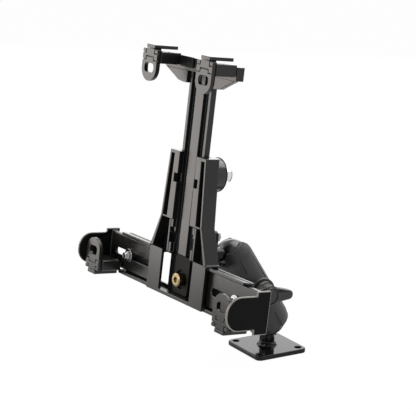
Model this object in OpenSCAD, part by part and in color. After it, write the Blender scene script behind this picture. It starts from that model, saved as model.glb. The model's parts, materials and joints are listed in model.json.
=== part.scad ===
// Locking tablet mount: a base plate with a ball, a double-socket clamp arm with a wing knob, and a
// keyed holder whose head slides up and whose side arms slide out. Sizes are in millimetres.
// Origin: centre of the base plate's underside. +X to the holder's right, +Y back, +Z up.

/* [Base] */
// Side of the square base plate
base_side = 50; // [46:1:60]
// Thickness of the base plate
base_thick = 4; // [3:0.5:6]
// Corner radius of the base plate
base_corner = 5; // [3:0.5:8]
// Distance between neighbouring screw holes
base_pitch = 38; // [32:1:40]
// Diameter of a screw hole
base_hole_d = 5.4; // [4:0.1:6.5]
// Height of the lower ball's centre above the underside
base_ball_z = 25.8; // [25:0.2:32]
// Diameter of the post under the lower ball
post_d = 12.8; // [10:0.2:13]

/* [Balls] */
// Diameter over the rubber coat of a ball
ball_d = 25.4; // [24:0.2:27]
// Thickness of the rubber coat
coat_thick = 1.5; // [1:0.1:2]
// Running gap between a ball and its coat, and between a coat and a socket
ball_gap = 0.06; // [0.04:0.01:0.1]
// Diameter of the neck behind the holder
neck_d = 11.5; // [9:0.5:12]

/* [Clamp arm] */
// Distance between the two ball centres
arm_span = 75.1; // [70:0.5:95]
// Radius of the arm's body
arm_r = 16.6; // [16:0.2:18]
// Distance from a ball centre to the socket rim
arm_rim = 8.5; // [7:0.25:9.5]
// Radius of the rim
arm_rim_r = 11.6; // [11.2:0.1:13]
// Gap between the two half shells
arm_gap = 2; // [1:0.25:3]
// Radius of the round boss under the knob
arm_boss_r = 12; // [9:0.5:13]
// Height of the boss above the arm's side
boss_rise = 0.4; // [0.2:0.1:1.2]
// Diameter of the clamp bolt
arm_bolt_d = 6; // [5:0.5:8]
// Half length of the knob's wings
wing_reach = 24; // [22:0.5:32]
// Radius of the knob's hub
hub_r = 9; // [8:0.5:10]
// Radius of a wing tip
wing_tip_r = 4; // [3:0.25:5]
// Thickness of the knob along its bolt
knob_thick = 11; // [8:0.5:13]

/* [Pose] */
// Turn of the holder and arm about the post
yaw = 4.04; // [-20:0.1:20]
// Lean of the clamp arm from upright
arm_tilt = 32.16; // [20:0.1:40]
// Backward lean of the holder
lean = 6.13; // [-5:0.1:15]

/* [Holder housing] */
// Half length of the housing's side channels
wing_half = 86; // [78:1:92]
// Half height of the housing's channel
chan_half = 18.1; // [17:0.1:20]
// Depth of the housing from its front bridges to its back
hous_depth = 12.7; // [12:0.1:15]
// Height of the top of the slider guide above the channel's middle
guide_top = 100.3; // [90:0.5:120]
// Distance from the housing's front to the upper ball's centre
ball_back = 55; // [50:0.5:62]
// Height of the upper ball above the channel's middle
ball_up = 17.1; // [10:0.1:25]
// Wall thickness of the channel's flanges
flange = 3; // [2:0.1:3.4]
// Width of the cover over the guide's back
cover_w = 40; // [36:0.5:44]
// Height of the cover
cover_tall = 53; // [50:0.5:56]
// Height of the cover's middle above the channel's middle
cover_mid = 70.5; // [69:0.5:72]
// Distance of the cover screws from the middle
cover_bolt_x = 15; // [13:0.5:15]
// Height of the lower cover screws
cover_bolt_low = 50; // [49:0.5:54]
// Height of the upper cover screws
cover_bolt_high = 66; // [60:0.5:66]

/* [Ball plate] */
// Width of the plate behind the holder
plate_w = 40; // [38:0.5:44]
// Height of that plate
plate_tall = 48; // [46:0.5:52]
// Corner radius of that plate
plate_r = 4; // [2:0.5:6]
// Distance of the plate's bolts from the middle
plate_bolt_x = 15; // [13:0.5:15]
// Distance of the plate's bolts above and below the ball's height
plate_bolt_z = 19; // [18:0.5:19]
// Margin by which the block in front of the plate is smaller
block_margin = 0.5; // [0.2:0.1:1]

// Radius of the stud in the middle of the channel
stud_r = 5.2; // [4:0.2:6]
// Height of the stud above the channel's middle
stud_z = -2.4; // [-3:0.2:0]
// Front face of the block around the stud, behind the housing's front
block_front = 6; // [3:0.2:6.6]

/* [Slider] */
// Half width of the slider bar
bar_half = 16.3; // [15:0.1:16.4]
// Height of the bar's lower end above the channel's middle
bar_low = 17.8; // [17.6:0.1:22]
// Height of the head's lower edge
head_low = 164.3; // [150:0.5:190]
// Height of the head's cross bar
head_tall = 10.7; // [9:0.1:14]
// Half length of the head's cross bar
head_half = 48; // [44:1:60]
// Running gap of the slider in its guide
slide_gap = 0.4; // [0.2:0.05:0.6]

/* [Hooks and feet] */
// Width of a tab
tab_w = 20.4; // [18:0.2:24]
// Front face of the tabs, ahead of the housing's front
tab_reach = 21.2; // [16:0.2:28]
// Thickness of a tab's sheet
tab_thick = 2.6; // [2:0.1:3]
// Thickness of the pad behind a tab
pad_thick = 1.4; // [1:0.1:2]
// Distance of each hook from the middle
hook_x = 37.3; // [30:0.1:37.8]
// Top of the hooks' cap plates
hook_top = 181.4; // [170:0.2:200]
// Distance of each foot beyond the housing's end
foot_out = 6.2; // [2:0.1:8]
// Underside of the feet's ledges, below the channel's middle
foot_low = 18.9; // [18:0.1:21]
// Width of a cap plate or a ledge
cap_w = 11.6; // [8:0.2:14]
// Thickness of a cap plate or a ledge
cap_thick = 2.8; // [1.8:0.1:3]

/* [Side arms] */
// Distance of each end plate's outer face beyond the housing's end
end_out = 21.6; // [20:0.1:26]
// Sheet thickness of the side arms
sheet = 2.4; // [2:0.1:2.8]
// Front face of the side arms behind the housing's front
side_front = 4.9; // [4.6:0.1:5]
// Reach of the rounded end plates ahead of the housing's front
nose_reach = 27.2; // [20:0.2:32]
// Corner radius of the rounded end plates
nose_r = 12.5; // [8:0.5:13]
// Distance of each clamp screw inside the housing's end
screw_in = 10.5; // [8:0.5:12]
// Width of the slot in a side arm
slot_w = 5.5; // [5:0.1:7]

/* [Lock] */
// Height of the lock above the channel's middle
lock_z = 83.7; // [75:0.1:84]
// Radius of the lock body
lock_r = 13.5; // [11:0.5:14]
// Back face of the lock body behind the housing's front
lock_back = 32; // [26:0.5:36]
// Radius of the key plug
plug_r = 6; // [5:0.1:7]
// Back end of the key plug behind the housing's front
plug_back = 42; // [36:0.5:44]

/* [Hidden] */
$fn = 48;
ball_r = ball_d / 2;
core_r = ball_r - coat_thick - ball_gap;
socket_r = ball_r + ball_gap;
coat_in_r = ball_r - coat_thick;
neck_slot = post_d + 1.2;
arm_up = arm_span * cos(arm_tilt);
arm_out = arm_span * sin(arm_tilt);
bar_front = 4.3;
bar_back = 9.4;
wall_front = bar_back + slide_gap;
wing_front = 2;
chan_in = chan_half - flange;
chan_top = 17.7;
side_half = chan_in - 0.6;
side_in = 30.5;
side_back = 9.5;
slot_z = -0.6;
slot_from = wing_half - 42.5;
slot_to = wing_half + 11;
screw_x = wing_half - screw_in;
foot_x = wing_half + foot_out;
end_x = wing_half + end_out;
arm_boss_x = arm_r + boss_rise;
cheek_front = -0.3;
block_back = 20.5;
plate_back = 24.5;
cover_back = hous_depth + 2;
head_front = 1.9;
head_back = 9;
hook_tall = 29;
foot_tall = 30.6;
gusset_low = head_low - 9.6;
strap_back = 11.5;
washer_r = 5.6;
satin = [0.30, 0.31, 0.30];
black = [0.07, 0.07, 0.07];
rubber = [0.05, 0.05, 0.05];
chrome = [0.80, 0.81, 0.82];
steel = [0.60, 0.60, 0.61];
brass = [0.78, 0.60, 0.28];
composite = [0.16, 0.17, 0.17];

// Placement of the clamp arm: its z runs from the lower ball to the upper one
module in_arm() {
  rotate([0, 0, yaw]) translate([0, 0, base_ball_z]) rotate([arm_tilt, 0, 0]) children();
}

// Placement of the holder: y = 0 is the front of its bridges, z = 0 the channel's middle
module in_holder() {
  rotate([0, 0, yaw]) translate([0, -arm_out, base_ball_z + arm_up]) rotate([-lean, 0, 0])
    translate([0, -ball_back, -ball_up]) children();
}

// Turns a shape drawn in x and y into one standing in x and z, with its back at y_back
module upright(y_back) {
  translate([0, y_back, 0]) rotate([90, 0, 0]) children();
}

// Turns a cylinder along z into one along y, starting at y_from
module along_y(x, y_from, z) {
  translate([x, y_from, z]) rotate([-90, 0, 0]) children();
}

module slab(w, d, t, r) {
  translate([r - w / 2, -d / 2, 0]) cube([w - 2 * r, d, t]);
  translate([-w / 2, r - d / 2, 0]) cube([w, d - 2 * r, t]);
  for (x = [-1, 1], y = [-1, 1]) translate([x * (w / 2 - r), y * (d / 2 - r), 0]) cylinder(r = r, h = t);
}

module both_sides() {
  children();
  mirror([1, 0, 0]) children();
}

module ball_coat(hole_r) {
  difference() {
    sphere(r = ball_r);
    sphere(r = coat_in_r);
    translate([0, 0, -2 * ball_r]) cylinder(r = hole_r, h = 2 * ball_r);
  }
}

// Base

module base_plate() {
  color(black) {
    difference() {
      slab(base_side, base_side, base_thick, base_corner);
      for (x = [-1, 1], y = [-1, 1]) translate([x * base_pitch / 2, y * base_pitch / 2, -1])
        cylinder(d = base_hole_d, h = base_thick + 2);
    }
    rotate_extrude() polygon([[0, base_thick / 2], [post_d / 2 + 1.9, base_thick / 2],
      [post_d / 2 + 1.9, base_thick + 1], [post_d / 2 + 1.3, base_thick + 2], [post_d / 2, base_thick + 2.8],
      [post_d / 2, base_ball_z - 6], [0, base_ball_z - 6]]);
    translate([0, 0, base_ball_z]) sphere(r = core_r);
  }
}

module base_ball_coat() {
  color(rubber) translate([0, 0, base_ball_z]) ball_coat(post_d / 2 + ball_gap);
}

// Clamp arm

module arm_body() {
  rotate_extrude() polygon([[0, -arm_rim], [arm_rim_r, -arm_rim], [arm_r - 0.6, -0.5], [arm_r, 3],
    [arm_r, arm_span - 3], [arm_r - 0.6, arm_span + 0.5], [arm_rim_r, arm_span + arm_rim],
    [0, arm_span + arm_rim]]);
}

// The shell on the +x side, with its sockets, hollow, bolt hole and the two shallow side grooves
module arm_shell() {
  difference() {
    union() {
      arm_body();
      translate([0, 0, arm_span / 2]) rotate([0, 90, 0]) cylinder(r = arm_boss_r, h = arm_boss_x);
    }
    translate([arm_gap / 2 - 60, -40, -40]) cube([60, 80, arm_span + 80]);
    sphere(r = socket_r);
    translate([0, 0, arm_span]) sphere(r = socket_r);
    translate([-1, 0, 0]) {
      translate([0, -40, -40]) cube([1 + neck_slot / 2, 80, 40]);
      translate([0, -40, arm_span]) cube([1 + neck_slot / 2, 80, 40]);
    }
    difference() {
      translate([0, 0, 17]) cylinder(r = arm_r - 3.6, h = arm_span - 34);
      translate([-20, 0, arm_span / 2]) rotate([0, 90, 0]) cylinder(r = 6, h = 60);
    }
    translate([-1, 0, arm_span / 2]) rotate([0, 90, 0]) cylinder(d = arm_bolt_d + 0.4, h = 60);
    translate([arm_r - 0.9, -1.2, -5]) cube([4, 2.4, 19]);
    rotate([0, 0, -17]) translate([arm_r - 0.9, -1.2, arm_span - 14]) cube([4, 2.4, 19]);
  }
}

module arm_shell_right() {
  color(composite) in_arm() arm_shell();
}

module arm_shell_left() {
  color(composite) in_arm() difference() {
    mirror([1, 0, 0]) arm_shell();
    translate([-arm_boss_x - 1, 0, arm_span / 2]) rotate([0, 90, 0]) cylinder(r = 6.6, h = 6, $fn = 6);
  }
}

module arm_bolt() {
  color(steel) in_arm() translate([0, 0, arm_span / 2]) rotate([0, 90, 0]) {
    translate([0, 0, -arm_boss_x + 1]) cylinder(r = 6.3, h = 4, $fn = 6);
    translate([0, 0, -arm_boss_x + 2]) cylinder(d = arm_bolt_d, h = 2 * arm_boss_x + 5);
  }
}

module arm_washer() {
  color(steel) in_arm() translate([arm_boss_x, 0, arm_span / 2]) rotate([0, 90, 0]) difference() {
    cylinder(r = 8.5, h = 1);
    translate([0, 0, -1]) cylinder(d = arm_bolt_d + 0.4, h = 3);
  }
}

module wing_side() {
  run = wing_reach - wing_tip_r;
  lean_in = asin((hub_r - 1.5 - wing_tip_r) / run);
  c = cos(lean_in);
  s = sin(lean_in);
  linear_extrude(height = knob_thick - 3) {
    polygon([[0, -hub_r + 1.5], [run, -wing_tip_r], [run + s * wing_tip_r, -c * wing_tip_r],
      [run + s * wing_tip_r, c * wing_tip_r], [run, wing_tip_r], [0, hub_r - 1.5]]);
  }
  translate([run, 0, 0]) cylinder(r = wing_tip_r, h = knob_thick - 3);
}

module wing_knob() {
  color(composite) in_arm() translate([arm_boss_x + 1.15, 0, arm_span / 2]) rotate([-6.5, 0, 0])
    rotate([-arm_tilt, 0, 0]) rotate([0, 90, 0]) difference() {
      union() {
        cylinder(r1 = hub_r + 1.5, r2 = hub_r, h = 4);
        translate([0, 0, 3.5]) cylinder(r1 = hub_r, r2 = hub_r - 2, h = knob_thick - 3.5);
        rotate([0, 0, 90]) translate([0, 0, 2.2]) wing_side();
        rotate([0, 0, -90]) translate([0, 0, 2.2]) wing_side();
      }
      translate([0, 0, -1]) cylinder(d = arm_bolt_d + 0.2, h = 8);
    }
}

// Ball behind the holder

module holder_ball_coat() {
  color(rubber) in_holder() translate([0, ball_back, ball_up]) rotate([-90, 0, 0])
    ball_coat(neck_d / 2 + ball_gap);
}

module ball_bolts() {
  for (x = [-plate_bolt_x, plate_bolt_x], z = [-plate_bolt_z, plate_bolt_z])
    along_y(x, 0, ball_up + z) children();
}

module holder_ball() {
  color(black) in_holder() {
    difference() {
      upright(plate_back) translate([0, ball_up, 0])
        slab(plate_w, plate_tall, plate_back - block_back, plate_r);
      ball_bolts() cylinder(r = 2.1, h = 60);
    }
    along_y(0, plate_back - 1, ball_up) {
      cylinder(r = neck_d / 2 + 2.2, h = 2.6);
      cylinder(d = neck_d, h = ball_back - plate_back + 1 - 6);
    }
    translate([0, ball_back, ball_up]) sphere(r = core_r);
  }
}

module ball_nuts() {
  color(chrome) in_holder() ball_bolts() {
    translate([0, 0, plate_back]) cylinder(r = 4.05, h = 3.1, $fn = 6);
    translate([0, 0, hous_depth - 2]) cylinder(r = 1.9, h = plate_back - hous_depth + 6);
  }
}

module mount_block() {
  color(satin) in_holder() difference() {
    upright(block_back) translate([0, ball_up, 0])
      slab(plate_w - 2 * block_margin, plate_tall - 2 * block_margin, block_back - hous_depth, plate_r - 1);
    ball_bolts() cylinder(r = 2.1, h = 60);
  }
}

// Holder housing

module cheek_outer() {
  polygon([[24.6, guide_top], [28.7, 45.6], [30.2, 45], [39.4, chan_half], [35.8, chan_half], [27.6, 43],
    [26.4, 46], [22.4, guide_top]]);
}

module housing_side() {
  // bridge over the channel's mouth
  difference() {
    translate([21.6, 0, -chan_half]) cube([17.8, 2.5, 2 * chan_half]);
    translate([39.4, -1, -chan_half]) rotate([0, 45, 0]) cube([3, 5, 3], center = true);
  }
  // channel flanges and back wall
  translate([21.6, 0, chan_in]) cube([17.8, hous_depth, flange]);
  translate([36, 0.3, chan_half - 0.8]) cube([5, hous_depth - 0.3, 1.6]);
  translate([0, 0, -chan_half]) cube([39.4, hous_depth, flange]);
  translate([39, 0, 0]) rotate([90, 0, 90]) linear_extrude(height = wing_half - 39) {
    polygon([[wing_front, chan_in], [wing_front, chan_top], [hous_depth, 15.9], [hous_depth, chan_in]]);
    polygon([[wing_front, -chan_half], [wing_front, -chan_in], [hous_depth, -chan_in],
      [hous_depth, -chan_half]]);
  }
  difference() {
    translate([0, wall_front, -chan_half]) cube([wing_half, hous_depth - wall_front, 2 * chan_half - 1.5]);
    translate([22.5, 0, -12.5]) cube([15, 30, 26]);
    ball_bolts() cylinder(r = 2, h = 60);
  }
  along_y(screw_x, side_front + sheet + 0.2, slot_z) difference() {
    cylinder(r = 4.2, h = wall_front - side_front - sheet + 0.5);
    translate([0, 0, -1]) cylinder(r = 2, h = 3.5);
  }
  // slider guide
  upright(hous_depth) linear_extrude(height = hous_depth - cheek_front) cheek_outer();
  upright(3.9) linear_extrude(height = 3.9 - cheek_front) difference() {
    polygon([[11.5, guide_top], [24, guide_top], [24, guide_top - 2.8], [18.5, guide_top - 2.8],
      [20.3, 46.4], [26, 46.4], [26.4, 44.8], [12, 44.8]]);
    translate([11, 75.4]) square([5.3, 6.8]);
  }
  for (z = [[chan_half - 1, 25.5], [33.5, 45]]) translate([13.6, 2.2, z[0]])
    cube([4, bar_front - slide_gap - 2.2, z[1] - z[0]]);
  translate([bar_half + slide_gap, 0, guide_top - 2.8]) cube([7, hous_depth, 2.8]);
  translate([bar_half + slide_gap, 0.5, 44]) cube([1.6, hous_depth - 1, guide_top - 45]);
  translate([bar_half + slide_gap, 2, chan_half - 1]) cube([2.3, hous_depth - 2.5, 46 - chan_half]);
  upright(hous_depth) linear_extrude(height = hous_depth - wall_front)
    polygon([[0, chan_half - 2], [36, chan_half - 2], [27, 45], [23.5, guide_top], [0, guide_top]]);
}

module cover_bolts() {
  for (x = [-cover_bolt_x, cover_bolt_x], z = [cover_bolt_low, cover_bolt_high]) along_y(x, 0, z) children();
}

module housing() {
  color(satin) in_holder() difference() {
    both_sides() housing_side();
    along_y(0, 0, lock_z) cylinder(r = 10, h = 60);
    along_y(0, 0, stud_z) cylinder(r = 2.6, h = 60);
    cover_bolts() cylinder(r = 1.5, h = 30);
    ball_bolts() cylinder(r = 2, h = 60);
  }
}

module back_cover() {
  color(satin) in_holder() difference() {
    upright(cover_back) translate([0, cover_mid, 0]) slab(cover_w, cover_tall, cover_back - hous_depth, 4);
    along_y(0, 0, lock_z) cylinder(r = 10, h = 60);
    cover_bolts() cylinder(r = 1.5, h = 30);
  }
}

module cover_screws() {
  color(chrome) in_holder() cover_bolts() {
    translate([0, 0, wall_front + 0.2]) cylinder(r = 1.5, h = cover_back - wall_front);
    translate([0, 0, cover_back]) difference() {
      cylinder(r1 = 3.1, r2 = 2.5, h = 1.8);
      translate([-0.4, -2.4, 1]) cube([0.8, 4.8, 2]);
    }
  }
}

// Lock

module lock_body() {
  color(black) in_holder() along_y(0, 0, lock_z) difference() {
    union() {
      translate([0, 0, cover_back]) cylinder(r = lock_r, h = lock_back - cover_back - 1.5);
      translate([0, 0, lock_back - 1.6]) cylinder(r1 = lock_r, r2 = lock_r - 1.5, h = 1.6);
      translate([0, 0, hous_depth - 0.4]) cylinder(r = 9.9, h = 3);
    }
    cylinder(r = plug_r + 0.06, h = 60);
    translate([0, 0, hous_depth - 3]) cylinder(r = 8.6, h = 3.6);
  }
}

module lock_plug() {
  color(chrome) in_holder() along_y(0, 0, lock_z) difference() {
    union() {
      translate([0, 0, hous_depth - 0.3]) cylinder(r = plug_r, h = plug_back - hous_depth - 0.7);
      translate([0, 0, plug_back - 1.1]) cylinder(r1 = plug_r, r2 = plug_r - 0.9, h = 1.1);
    }
    translate([-0.8, -3.6, plug_back - 8]) cube([1.6, 7.2, 9]);
  }
}

module lock_cam() {
  color(steel) in_holder() along_y(0, hous_depth - 2.3, lock_z) {
    cylinder(r = 4, h = 2);
    translate([-2.5, -8, 0]) cube([5, 8, 1.4]);
  }
}

// Middle of the channel

module center_block() {
  color(black) in_holder() difference() {
    upright(wall_front) translate([0, 1.2, 0]) slab(20.4, 32, wall_front - block_front, 3);
    along_y(0, 0, stud_z) cylinder(r = stud_r + 2.6, h = 8);
    along_y(0, 0, stud_z) cylinder(r = 2.6, h = 30);
  }
}

module brass_stud() {
  color(brass) in_holder() along_y(0, 0.7, stud_z) difference() {
    union() {
      cylinder(r1 = stud_r - 0.6, r2 = stud_r, h = 0.7);
      translate([0, 0, 0.65]) cylinder(r = stud_r, h = 6.6);
      cylinder(r = 2.5, h = hous_depth - 0.9);
    }
    translate([0, 0, -1]) cylinder(r = 2.6, h = 3.6, $fn = 6);
  }
}

// Slider

module slider_bar() {
  color(satin) in_holder() difference() {
    translate([0, 0, bar_low]) linear_extrude(height = head_low - 0.1 - bar_low)
      polygon([[-bar_half, bar_front], [-12.8, bar_front], [-12.8, 7.5], [-6.9, 7.5], [-6.9, bar_front],
        [6.9, bar_front], [6.9, 7.5], [12.8, 7.5], [12.8, bar_front], [bar_half, bar_front],
        [bar_half, bar_back], [-bar_half, bar_back]]);
    for (s = [-1, 1]) translate([s * bar_half, 0, bar_low]) rotate([0, 45, 0])
      cube([3, 40, 3], center = true);
    for (s = [-1, 1]) translate([s * 13.6 - 1, 4, 25.5]) cube([2, 3.5, 8]);
    for (x = [-4, 4]) along_y(x, 5.8, head_low - 4.3) cylinder(r = 1.6, h = 30);
  }
}

module cross_head() {
  color(satin) in_holder() difference() {
    union() {
      translate([-head_half, head_front, head_low]) cube([2 * head_half, head_back - head_front, head_tall]);
      translate([-22, bar_back + 0.05, gusset_low]) cube([44, strap_back - bar_back - 0.05, 13.3]);
      translate([-22, head_back - 1, head_low]) cube([44, 2.5, 3.7]);
      upright(6) linear_extrude(height = 4)
        polygon([[-head_half, head_low + 1.2], [-head_half, head_low + 4], [head_half, head_low + 4],
          [head_half, head_low + 1.2], [28.8, head_low - 8.7], [22, gusset_low], [-22, gusset_low],
          [-28.8, head_low - 8.7]]);
    }
    translate([-bar_half - 0.15, -1, 140]) cube([2 * bar_half + 0.3, bar_back + 1.05, head_low - 140]);
    for (x = [-4, 4]) along_y(x, 2.6, head_low - 4.3) cylinder(r = 1.6, h = 30);
    for (x = [-hook_x, hook_x], s = [-5, 5]) along_y(x + s, 0, head_low + 6) cylinder(r = 1.5, h = 30);
  }
}

module head_screws() {
  color(chrome) in_holder() {
    for (x = [-4, 4]) along_y(x, 0, head_low - 4.3) {
      translate([0, 0, 5.8]) cylinder(r = 1.6, h = strap_back - 5.7);
      translate([0, 0, strap_back]) cylinder(r1 = 3, r2 = 2.4, h = 1.6);
    }
    for (x = [-hook_x, hook_x], s = [-5, 5]) along_y(x + s, 0, head_low + 6) {
      translate([0, 0, -4]) cylinder(r = 1.5, h = head_back + 4.1);
      translate([0, 0, head_back]) cylinder(r1 = 3, r2 = 2.4, h = 1.6);
    }
  }
}

module head_pads() {
  color(rubber) in_holder() for (s = [-1, 1]) translate([s * 17.25 - 9.25, head_front - 1.6, head_low + 2.7])
    cube([18.5, 1.6, 8.4]);
}

// Hooks and feet. Drawn around x = 0 with the cap plate's outer face at z = 0 and the tab hanging down

module tab_shape(tall, hole_w, hole_tall, grow) {
  r = tab_w / 2 - grow;
  c = 2.8;
  w = hole_w / 2 + grow;
  h = hole_tall / 2 + grow;
  difference() {
    union() {
      translate([-r, -3.7]) square([2 * r, 0.01]);
      translate([-r, -tall + tab_w / 2]) square([2 * r, tall - tab_w / 2 - 3.7]);
      translate([0, -tall + tab_w / 2]) circle(r = r);
    }
    translate([0, -tall + 10.6]) {
      translate([-w, c - h]) square([2 * w, 2 * h - 2 * c]);
      translate([c - w, -h]) square([2 * w - 2 * c, 2 * h]);
      for (x = [c - w, w - c], z = [c - h, h - c]) translate([x, z]) circle(r = c);
    }
  }
}

module groove(x, z, w, tall) {
  translate([x, -tab_reach - 1, z]) cube([w, 2, tall]);
}

module tab(tall, hole_w, hole_tall) {
  difference() {
    union() {
      upright(tab_thick - tab_reach) linear_extrude(height = tab_thick) tab_shape(tall, hole_w, hole_tall, 0);
      translate([-cap_w / 2, -tab_reach, -8]) cube([cap_w, tab_thick, 8 - cap_thick - 0.25]);
    }
    both_sides() {
      groove(5.45, -7.2, 0.7, 5);
      groove(5.45, -7.25, tab_w / 2, 0.7);
      groove(4.85, -12.75, 0.7, 3.5);
      groove(4.85, -12.75, tab_w / 2, 0.7);
    }
    groove(-5.5, -9.95, 11, 0.7);
  }
}

module tab_pad(tall, hole_w, hole_tall) {
  difference() {
    upright(tab_thick + pad_thick - tab_reach) linear_extrude(height = pad_thick)
      tab_shape(tall, hole_w, hole_tall, 0.4);
    translate([-20, -tab_reach, -4.2]) cube([40, 10, 10]);
  }
}

module cap_plate() {
  translate([-cap_w / 2, -tab_reach, -cap_thick]) cube([cap_w, tab_reach + 1.2, cap_thick]);
}

module tab_block(back, low) {
  front = tab_thick + pad_thick - tab_reach;
  translate([0, 0, low]) rotate([90, 0, 90]) linear_extrude(height = tab_w, center = true)
    polygon([[front, 0], [back - 1.6, 0], [back, 1.6], [back, 9.3], [front, 9.3]]);
  translate([-4, front, -6]) cube([8, 4, 6 - cap_thick]);
}

module at_hook(s) {
  in_holder() translate([s * hook_x, 0, hook_top]) children();
}

module at_foot(s) {
  in_holder() translate([s * foot_x, 0, -foot_low]) mirror([0, 0, 1]) children();
}

module hook_tab_left() {
  color(satin) at_hook(-1) tab(hook_tall, 12.6, 7.2);
}

module hook_tab_right() {
  color(satin) at_hook(1) tab(hook_tall, 12.6, 7.2);
}

module hook_cap_left() {
  color(satin) at_hook(-1) cap_plate();
}

module hook_cap_right() {
  color(satin) at_hook(1) cap_plate();
}

module hook_block() {
  difference() {
    tab_block(head_front, -14.1);
    for (s = [-5, 5]) along_y(s, -5, head_low + 6 - hook_top) cylinder(r = 1.5, h = 30);
  }
}

module hook_block_left() {
  color(satin) at_hook(-1) hook_block();
}

module hook_block_right() {
  color(satin) at_hook(1) hook_block();
}

module hook_pads() {
  color(rubber) {
    at_hook(-1) tab_pad(hook_tall, 12.6, 7.2);
    at_hook(1) tab_pad(hook_tall, 12.6, 7.2);
  }
}

module foot_tab_left() {
  color(satin) at_foot(-1) tab(foot_tall, 11.6, 7.4);
}

module foot_tab_right() {
  color(satin) at_foot(1) tab(foot_tall, 11.6, 7.4);
}

module foot_ledge_left() {
  color(satin) at_foot(-1) cap_plate();
}

module foot_ledge_right() {
  color(satin) at_foot(1) cap_plate();
}

module foot_block() {
  tab_block(1.5, -12.6);
  translate([-8, -2, -10.2]) cube([16, side_front + 2, 4.2]);
}

module foot_block_left() {
  color(satin) at_foot(-1) foot_block();
}

module foot_block_right() {
  color(satin) at_foot(1) foot_block();
}

module foot_pad_left() {
  color(rubber) at_foot(-1) tab_pad(foot_tall, 11.6, 7.4);
}

module foot_pad_right() {
  color(rubber) at_foot(1) tab_pad(foot_tall, 11.6, 7.4);
}

// Side arms

module side_arm() {
  difference() {
    union() {
      translate([side_in, side_front, -side_half]) cube([end_x - side_in, sheet, 2 * side_half]);
      translate([side_in, side_front, side_half - sheet])
        cube([end_x - side_in, side_back - side_front, sheet]);
      translate([side_in, side_front, -side_half]) cube([end_x - side_in, side_back - side_front, sheet]);
      translate([end_x - sheet, -0.5, -17.6]) cube([sheet, 13, 33.9]);
      translate([end_x - sheet, nose_r - nose_reach, -13.5]) cube([sheet, nose_reach - nose_r, 26.4]);
      translate([end_x - sheet, -nose_reach, nose_r - 13.5]) cube([sheet, nose_reach, 26.4 - 2 * nose_r]);
      for (z = [nose_r - 13.5, 12.9 - nose_r]) translate([end_x - sheet, nose_r - nose_reach, z])
        rotate([0, 90, 0]) cylinder(r = nose_r, h = sheet);
    }
    translate([slot_from + slot_w / 2, 0, slot_z - slot_w / 2])
      cube([slot_to - slot_from - slot_w, 9, slot_w]);
    for (x = [slot_from + slot_w / 2, slot_to - slot_w / 2]) along_y(x, 0, slot_z)
      cylinder(d = slot_w, h = 9);
  }
}

module side_arm_right() {
  color(satin) in_holder() side_arm();
}

module side_arm_left() {
  color(satin) in_holder() mirror([1, 0, 0]) side_arm();
}

module arm_screws() {
  color(chrome) in_holder() for (s = [-1, 1]) along_y(s * screw_x, 0, slot_z) {
    translate([0, 0, -0.8]) difference() {
      union() {
        cylinder(r1 = 2.6, r2 = 3.4, h = 2.6);
        translate([0, 0, 2.55]) cylinder(r = 3.4, h = 1.55);
      }
      translate([0, 0, -1]) cylinder(r = 1.6, h = 3.6, $fn = 6);
    }
    translate([0, 0, 3]) cylinder(r = 1.95, h = 6.4);
  }
}

module arm_washers() {
  color(steel) in_holder() for (s = [-1, 1]) along_y(s * screw_x, 3.3, slot_z) difference() {
    cylinder(r = washer_r, h = side_front - 3.35);
    translate([0, 0, -1]) cylinder(r = 2.1, h = 5);
  }
}

base_plate();
base_ball_coat();
arm_shell_right();
arm_shell_left();
arm_bolt();
arm_washer();
wing_knob();
holder_ball_coat();
holder_ball();
ball_nuts();
mount_block();
housing();
back_cover();
cover_screws();
lock_body();
lock_plug();
lock_cam();
center_block();
brass_stud();
slider_bar();
cross_head();
head_screws();
head_pads();
hook_tab_left();
hook_tab_right();
hook_cap_left();
hook_cap_right();
hook_block_left();
hook_block_right();
hook_pads();
side_arm_left();
side_arm_right();
foot_tab_left();
foot_tab_right();
foot_ledge_left();
foot_ledge_right();
foot_block_left();
foot_block_right();
foot_pad_left();
foot_pad_right();
arm_screws();
arm_washers();
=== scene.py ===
import json
import math
import bpy
from mathutils import Matrix, Vector


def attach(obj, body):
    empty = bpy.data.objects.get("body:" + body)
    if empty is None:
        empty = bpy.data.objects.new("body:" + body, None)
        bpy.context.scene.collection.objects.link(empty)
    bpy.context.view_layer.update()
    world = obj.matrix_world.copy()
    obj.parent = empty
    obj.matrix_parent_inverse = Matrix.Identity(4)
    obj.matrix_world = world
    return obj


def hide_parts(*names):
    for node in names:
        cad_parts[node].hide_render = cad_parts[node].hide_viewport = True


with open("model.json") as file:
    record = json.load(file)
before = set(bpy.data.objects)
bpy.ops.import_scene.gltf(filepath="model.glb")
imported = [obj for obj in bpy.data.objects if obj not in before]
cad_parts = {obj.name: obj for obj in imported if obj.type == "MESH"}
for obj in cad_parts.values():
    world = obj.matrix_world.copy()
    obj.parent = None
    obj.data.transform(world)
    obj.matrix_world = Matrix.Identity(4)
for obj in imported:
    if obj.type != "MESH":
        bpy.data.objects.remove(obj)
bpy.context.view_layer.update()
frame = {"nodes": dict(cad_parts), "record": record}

nodes = frame["nodes"]
mm = 0.001
print("frame loaded")

# camera: the direction and lens that the photograph's edges give, in degrees, metres and millimetres of lens
cameraSet = {"azimuth": 58.28, "elevation": 13.85, "roll": 1.51, "distance": 1.1682, "lens": 120.24,
             "sensor": 36, "reach": 50, "target": (-0.0364, -0.0400, 0.1196)}


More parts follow.
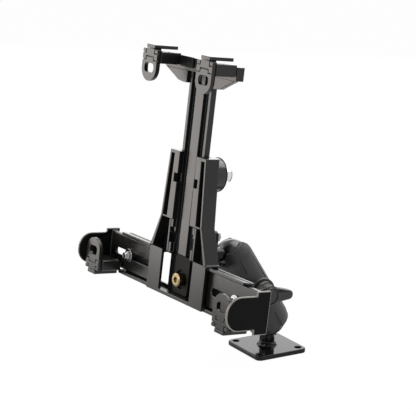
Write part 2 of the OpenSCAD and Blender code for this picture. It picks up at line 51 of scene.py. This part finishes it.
def makeCamera(s):
    az, el = math.radians(s["azimuth"]), math.radians(s["elevation"])
    away = Vector((math.sin(az) * math.cos(el), -math.cos(az) * math.cos(el), math.sin(el)))
    turn = (Matrix.Rotation(az, 4, "Z") @ Matrix.Rotation(math.pi / 2 - el, 4, "X")
            @ Matrix.Rotation(math.radians(s["roll"]), 4, "Z"))
    place = Vector(s["target"]) + away * s["distance"]
    bpy.ops.object.camera_add(location=place, rotation=turn.to_euler())
    cam = bpy.context.object
    cam.name = "photo_camera"
    cam.data.sensor_width = s["sensor"]
    cam.data.lens = s["lens"]
    cam.data.clip_end = s["reach"]
    bpy.context.scene.camera = cam


makeCamera(cameraSet)
print("camera placed")


# a socket that takes part in sums: each operator adds one Math node
class Wire:
    def __init__(self, paint, socket):
        self.paint = paint
        self.socket = socket

    def join(self, kind, a, b):
        return self.paint.add("ShaderNodeMath", {"operation": kind}, {0: a, 1: b})

    def __add__(self, other):
        return self.join("ADD", self, other)

    def __radd__(self, other):
        return self.join("ADD", other, self)

    def __sub__(self, other):
        return self.join("SUBTRACT", self, other)

    def __rsub__(self, other):
        return self.join("SUBTRACT", other, self)

    def __mul__(self, other):
        return self.join("MULTIPLY", self, other)

    def __rmul__(self, other):
        return self.join("MULTIPLY", other, self)

    def __abs__(self):
        return self.join("ABSOLUTE", self, 0)

    def __gt__(self, other):
        return self.join("GREATER_THAN", self, other)


# one material, or the world's nodes, under construction
class Paint:
    def __init__(self, name, tree=None):
        if tree is None:
            self.material = bpy.data.materials.new(name)
            self.material.use_nodes = True
            tree = self.material.node_tree
        tree.nodes.clear()
        self.tree = tree

    def add(self, kind, settings=None, inputs=None, out=0):
        node = self.tree.nodes.new(kind)
        for key, value in (settings or {}).items():
            if key == "stops":
                ramp = node.color_ramp.elements
                for stop, (at, tone) in zip(ramp, value):
                    stop.position = at
                    stop.color = tone
            else:
                setattr(node, key, value)
        for key, value in (inputs or {}).items():
            if isinstance(value, Wire):
                self.tree.links.new(value.socket, node.inputs[key])
            else:
                node.inputs[key].default_value = value
        return Wire(self, node.outputs[out]) if node.outputs else None

    def noise(self, spot, scale, detail):
        return self.add("ShaderNodeTexNoise", inputs={"Vector": spot, "Scale": scale, "Detail": detail})

    def ramp(self, value, low, high):
        return self.add("ShaderNodeValToRGB", {"stops": ((low, grey(0)), (high, grey(1)))}, {"Fac": value})

    def tint(self, mask, low, high):
        return self.add("ShaderNodeMix", {"data_type": "RGBA"}, {0: mask, 6: low, 7: high}, out=2)

    def along(self, vector, axis):
        return self.add("ShaderNodeVectorMath", {"operation": "DOT_PRODUCT"}, {0: vector, 1: axis}, "Value")

    def blend(self, mask, under, over):
        return self.add("ShaderNodeMixShader", inputs={0: mask, 1: under, 2: over})

    def ray(self, kind):
        return self.add("ShaderNodeLightPath", out=kind)

    def close(self, surface):
        self.add("ShaderNodeOutputMaterial", inputs={"Surface": surface})
        return self.material


def grey(r, g=None, b=None):
    return (r, r if g is None else g, r if b is None else b, 1)


# colours are linear; rough is the mean roughness, shine the specular level, grain the bump's scale and depth
# its height in metres
finishes = {
    "satin": {"low": grey(0.006), "high": grey(0.009, 0.0088, 0.0084), "rough": 0.27, "grain": 1000,
              "depth": 0.000022, "metal": 0.0, "shine": 0.36},
    "black": {"low": grey(0.005), "high": grey(0.007), "rough": 0.12, "grain": 1200, "depth": 0.000004,
              "metal": 0.0, "shine": 0.17},
    "composite": {"low": grey(0.014, 0.0143, 0.014), "high": grey(0.022, 0.0225, 0.0215), "rough": 0.42,
                  "grain": 900, "depth": 0.00004, "metal": 0.0, "shine": 0.4},
    "rubber": {"low": grey(0.006), "high": grey(0.009), "rough": 0.62, "grain": 500, "depth": 0.00004,
               "metal": 0.0, "shine": 0.3},
    "chrome": {"low": grey(0.60, 0.60, 0.59), "high": grey(0.70, 0.70, 0.69), "rough": 0.12, "grain": 400,
               "depth": 0.000004, "metal": 1.0, "shine": 0.5},
    "steel": {"low": grey(0.50), "high": grey(0.60), "rough": 0.24, "grain": 400, "depth": 0.000006,
              "metal": 1.0, "shine": 0.5},
    "brass": {"low": grey(0.20, 0.15, 0.085), "high": grey(0.28, 0.215, 0.12), "rough": 0.3, "grain": 400,
              "depth": 0.000006, "metal": 1.0, "shine": 0.5},
}
# the side arms' finish: satin, with painted shade on the end plates' outer sides and a painted highlight on
# their rims
finishes["satin_plate_painted_light"] = finishes["satin"]
finishes["satin_dull"] = {**finishes["rubber"], "low": grey(0.003), "high": grey(0.005), "shine": 0.1}
finishes["bolt_steel"] = {**finishes["steel"], "low": grey(0.28), "high": grey(0.42), "rough": 0.18}
finishes["lock_black"] = {**finishes["black"], "rough": 0.2, "shine": 0.5}
finishes["rubber_coat"] = {**finishes["rubber"], "rough": 0.26, "shine": 0.5}

# what all finishes share: clouds of colour and roughness, how far they spread, and the grain's strength
cloudSet = {"scale": 30, "detail": 4, "from": 0.35, "to": 0.65, "spread": 0.08, "grainDetail": 3,
            "strength": 0.4}

# the direction along the side arms, which is also the axis that the clamp arm tilts about, in degrees from X
sideTurn = 4.04
sideways = Vector((math.cos(math.radians(sideTurn)), math.sin(math.radians(sideTurn)), 0))

# the side arms' end plates: past "from", in metres along sideways, the sides that face squarely that way get
# painted shade, a darker, duller and less shiny coat, and past "edge" the rims between them get a painted
# highlight, a pale colour; "faces" and "slants" say how far a face is turned
plateSet = {"from": 0.1047, "edge": 0.1057, "faces": 0.97, "slants": 0.12, "low": grey(0.003),
            "high": grey(0.005), "rough": 0.5, "shine": 0.06, "rim": grey(0.20, 0.19, 0.175)}


def makeFinish(name, s, cloudy, plate=None):
    p = Paint(name)
    spot = p.add("ShaderNodeTexCoord", out="Object")
    grain = p.noise(spot, s["grain"], cloudy["grainDetail"])
    cloud = p.noise(spot, cloudy["scale"], cloudy["detail"])
    mask = p.ramp(cloud, cloudy["from"], cloudy["to"])
    bump = p.add("ShaderNodeBump", inputs={"Strength": cloudy["strength"], "Distance": s["depth"],
                                           "Height": grain})
    shader = p.add("ShaderNodeBsdfPrincipled", inputs={
        "Base Color": p.tint(mask, s["low"], s["high"]), "Metallic": s["metal"],
        "Roughness": s["rough"] - cloudy["spread"] / 2 + cloudy["spread"] * cloud,
        "Specular IOR Level": s["shine"], "Normal": bump})
    if plate:
        # painted shade: end-plate sides that face squarely along sideways take a darker, duller, less shiny
        # coat
        far = abs(p.along(spot, sideways))
        turned = abs(p.along(p.add("ShaderNodeTexCoord", out="Normal"), sideways))
        painted_shade_mask = (far > plate["from"]) * (turned > plate["faces"])
        # painted highlight: the end plates' rounded rims take a pale colour that stands in for light caught
        # on the edges
        rim = (far > plate["edge"]) * (turned > plate["slants"]) * (1 - painted_shade_mask)
        painted_rim_coat = p.add("ShaderNodeBsdfPrincipled", inputs={
            "Base Color": plate["rim"], "Roughness": s["rough"], "Specular IOR Level": s["shine"]})
        painted_shade_coat = p.add("ShaderNodeBsdfPrincipled", inputs={
            "Base Color": p.tint(mask, plate["low"], plate["high"]), "Roughness": plate["rough"],
            "Specular IOR Level": plate["shine"], "Normal": bump})
        shader = p.blend(painted_shade_mask, p.blend(rim, shader, painted_rim_coat), painted_shade_coat)
    return p.close(shader)


paints = {name: makeFinish(name, s, cloudSet, plateSet if name == "satin_plate_painted_light" else None)
          for name, s in finishes.items()}
slotOf = {part["node"]: part["material_slot"] for part in frame["record"]["subparts"]}
bodyOf = {name: body for body, names in frame["record"]["behaviour"]["bodies"].items() for name in names}
print("finishes mixed:", len(paints))

# pieces whose finish differs from that of their slot; the side arms take the satin with painted shade and a
# painted highlight on their end plates
finishSet = {"side_arm_left": "satin_plate_painted_light", "side_arm_right": "satin_plate_painted_light", "center_block": "satin_dull",
             "head_pads": "satin_dull", "hook_pads": "satin_dull", "foot_pad_left": "satin_dull",
             "foot_pad_right": "satin_dull", "arm_screws": "bolt_steel", "arm_washers": "bolt_steel",
             "cover_screws": "bolt_steel", "ball_nuts": "bolt_steel", "head_screws": "bolt_steel",
             "lock_body": "lock_black", "base_ball_coat": "rubber_coat", "holder_ball_coat": "rubber_coat"}


def paintPiece(piece, name):
    piece.data.materials.clear()
    piece.data.materials.append(paints[finishSet.get(name, slotOf[name])])


# radius of the rounded edges of each piece, in millimetres; the two ball coats have none
edgeSet = {"base_plate": 0.9, "arm_shell_right": 0.6, "arm_shell_left": 0.6, "wing_knob": 1.2,
           "arm_bolt": 0.4, "arm_washer": 0.3, "holder_ball": 0.7, "mount_block": 0.5, "housing": 0.45,
           "back_cover": 0.6, "lock_body": 0.6, "lock_plug": 0.5, "lock_cam": 0.3, "center_block": 0.5,
           "brass_stud": 0.3, "slider_bar": 0.45, "cross_head": 0.5, "head_pads": 0.8,
           "hook_tab_left": 0.3, "hook_tab_right": 0.3, "hook_cap_left": 0.5, "hook_cap_right": 0.5,
           "hook_block_left": 0.7, "hook_block_right": 0.7, "hook_pads": 0.4, "side_arm_left": 1.0,
           "side_arm_right": 1.0, "foot_tab_left": 0.3, "foot_tab_right": 0.3, "foot_ledge_left": 0.5,
           "foot_ledge_right": 0.5, "foot_block_left": 1.6, "foot_block_right": 1.6,
           "foot_pad_left": 0.4, "foot_pad_right": 0.4, "arm_screws": 0.2, "arm_washers": 0.3,
           "ball_nuts": 0.4, "cover_screws": 0.3, "head_screws": 0.3}

# how the edges are made: lengths in millimetres, angles in degrees
roundSet = {"merge": 0.01, "flatten": 0.6, "sharp": 32, "segments": 3, "weight": 80}


# moves some corners of a piece together
def shiftCorners(piece, corners, by):
    bpy.ops.object.mode_set(mode="EDIT")
    bpy.ops.mesh.select_all(action="DESELECT")
    bpy.ops.object.mode_set(mode="OBJECT")
    for at in corners:
        piece.data.vertices[at].select = True
    bpy.ops.object.mode_set(mode="EDIT")
    bpy.ops.transform.translate(value=by)
    bpy.ops.object.mode_set(mode="OBJECT")


# corners that are drawn in towards the holder's middle plane: how far out they are, and by how much, in
# millimetres
drawSet = {"slider_bar": ((16.3, 0.9), (12.8, 0.7), (6.9, 1.4)), "housing": ((30.2, 1.2),)}
drawNear = 0.2


def drawIn(piece, far, step):
    for side in (-1, 1):
        corners = [corner.index for corner in piece.data.vertices
                   if abs(corner.co.dot(sideways) - side * far * mm) < drawNear * mm]
        shiftCorners(piece, corners, sideways * (-side * step * mm))


# the clamp arm in millimetres and degrees, from its lower ball up: the outer skin lies further than "skin"
# off the axis, keeps its width at "keep" and widens by the share "grow" over that run down to the ball; the
# corners within "near" of the shoulder's height are moved down by "drop"; "range" is the skin's length
armSet = {"tilt": 32.16, "low": 25.8, "keep": 60, "skin": 13.5, "range": 92.1, "grow": 0.115,
          "shoulder": -0.5, "near": 0.3, "drop": 2.0}


def widenArm(piece, s):
    turn = (Matrix.Rotation(math.radians(sideTurn), 4, "Z")
            @ Matrix.Rotation(math.radians(s["tilt"]), 4, "X"))
    axis = turn @ Vector((0, 0, 1))
    low = Vector((0, 0, s["low"] * mm))
    skin = piece.vertex_groups.new(name="skin")
    shoulder = []
    for corner in piece.data.vertices:
        run = (corner.co - low).dot(axis)
        if (corner.co - low - axis * run).length > s["skin"] * mm:
            skin.add([corner.index], 1, "REPLACE")
            if abs(run - s["shoulder"] * mm) < s["near"] * mm:
                shoulder.append(corner.index)
    bpy.ops.object.empty_add(location=low + axis * (s["keep"] * mm), rotation=turn.to_euler())
    middle = bpy.context.object
    bpy.ops.object.select_all(action="DESELECT")
    piece.select_set(True)
    bpy.context.view_layer.objects.active = piece
    taper = piece.modifiers.new("taper", "SIMPLE_DEFORM")
    taper.deform_method = "TAPER"
    taper.deform_axis = "Z"
    taper.origin = middle
    taper.vertex_group = "skin"
    taper.factor = -s["grow"] * s["range"] / s["keep"]
    bpy.ops.object.modifier_apply(modifier="taper")
    bpy.data.objects.remove(middle)
    piece.vertex_groups.clear()
    shiftCorners(piece, shoulder, axis * (-s["drop"] * mm))


# a copy of a solid with its sharp edges rounded, which stands for the solid
def roundEdges(name, radius, s):
    source = nodes[name]
    piece = source.copy()
    piece.data = source.data.copy()
    piece.name = name + "_form"
    bpy.context.collection.objects.link(piece)
    bpy.ops.object.select_all(action="DESELECT")
    piece.select_set(True)
    bpy.context.view_layer.objects.active = piece
    bpy.ops.object.mode_set(mode="EDIT")
    bpy.ops.mesh.select_all(action="SELECT")
    bpy.ops.mesh.remove_doubles(threshold=s["merge"] * mm)
    bpy.ops.mesh.dissolve_limited(angle_limit=math.radians(s["flatten"]))
    bpy.ops.object.mode_set(mode="OBJECT")
    if name.startswith("arm_shell"):
        widenArm(piece, armSet)
    for far, step in drawSet.get(name, ()):
        drawIn(piece, far, step)
    bevel = piece.modifiers.new("edges", "BEVEL")
    bevel.width = radius * mm
    bevel.segments = s["segments"]
    bevel.limit_method = "ANGLE"
    bevel.angle_limit = math.radians(s["sharp"])
    bevel.use_clamp_overlap = False
    bpy.ops.object.modifier_apply(modifier="edges")
    bpy.ops.object.shade_smooth_by_angle(angle=math.radians(s["sharp"]))
    weigh = piece.modifiers.new("flat_faces", "WEIGHTED_NORMAL")
    weigh.keep_sharp = True
    weigh.weight = s["weight"]
    bpy.ops.object.modifier_apply(modifier="flat_faces")
    paintPiece(piece, name)
    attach(piece, bodyOf[name])
    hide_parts(name)


for name, piece in nodes.items():
    if name in edgeSet:
        roundEdges(name, edgeSet[name], roundSet)
    else:
        paintPiece(piece, name)
print("edges rounded on", len(edgeSet), "of", len(nodes), "pieces")

# floor, lamps and world: places and sizes in metres, power in watts; "glow" is the share of plain white that
# the camera and reflections see in place of the matte floor, "world" the sky's light on the object and
# "shine" its light in reflections
studioSet = {"floor": 6.0, "matte": grey(0.8), "glow": 0.98, "aim": (-0.03, -0.04, 0.12),
             "key": {"place": (-0.385, -0.425, 0.215), "size": 0.5, "tall": 0.45, "power": 2.75,
                     "tone": (1.0, 0.93, 0.875)},
             "front": {"place": (0.55, -1.5, 0.95), "size": 0.6, "tall": 0.6, "power": 14,
                       "tone": (1.0, 0.99, 0.97)},
             "back": {"place": (-1.5, 0.95, 0.62), "size": 1.2, "tall": 1.2, "power": 8,
                      "tone": (1.0, 1.0, 1.0)},
             "top": {"place": (-0.05, 0.45, 1.1), "size": 1.0, "tall": 1.0, "power": 13,
                     "tone": (1.0, 0.99, 0.97)},
             "world": 0.35, "shine": 1.0}


def makeLamp(name, s, aim):
    here = Vector(s["place"])
    turn = (here - Vector(aim)).to_track_quat("Z", "Y").to_euler()
    bpy.ops.object.light_add(type="AREA", location=here, rotation=turn)
    lamp = bpy.context.object
    lamp.name = name
    lamp.data.shape = "RECTANGLE"
    lamp.data.size = s["size"]
    lamp.data.size_y = s["tall"]
    lamp.data.energy = s["power"]
    lamp.data.color = s["tone"]
    lamp.visible_camera = False


def makeStudio(s):
    bpy.ops.object.select_all(action="DESELECT")
    bpy.ops.mesh.primitive_plane_add(size=s["floor"])
    floor = bpy.context.object
    floor.name = "studio_floor"
    p = Paint("floor_white")
    bare = p.ray("Is Camera Ray") + p.ray("Is Glossy Ray") + p.ray("Is Transmission Ray")
    matte = p.add("ShaderNodeBsdfDiffuse", inputs={"Color": s["matte"]})
    glow = p.add("ShaderNodeEmission", inputs={"Color": grey(1), "Strength": 1})
    floor.data.materials.append(p.close(p.blend(s["glow"] * bare, matte, glow)))
    for name in ("key", "front", "back", "top"):
        makeLamp(name + "_lamp", s[name], s["aim"])
    world = bpy.data.worlds.new("studio_world")
    bpy.context.scene.world = world
    world.use_nodes = True
    sky = Paint("sky", world.node_tree)
    seen = sky.ray("Is Camera Ray") + sky.ray("Is Transmission Ray")
    glossy = sky.ray("Is Glossy Ray")
    strength = s["world"] + (1 - s["world"]) * seen + (s["shine"] - s["world"]) * glossy
    back = sky.add("ShaderNodeBackground", inputs={"Color": grey(1), "Strength": strength})
    sky.add("ShaderNodeOutputWorld", inputs={"Surface": back})


makeStudio(studioSet)
bpy.context.scene.view_settings.view_transform = "Standard"
print("studio lit")
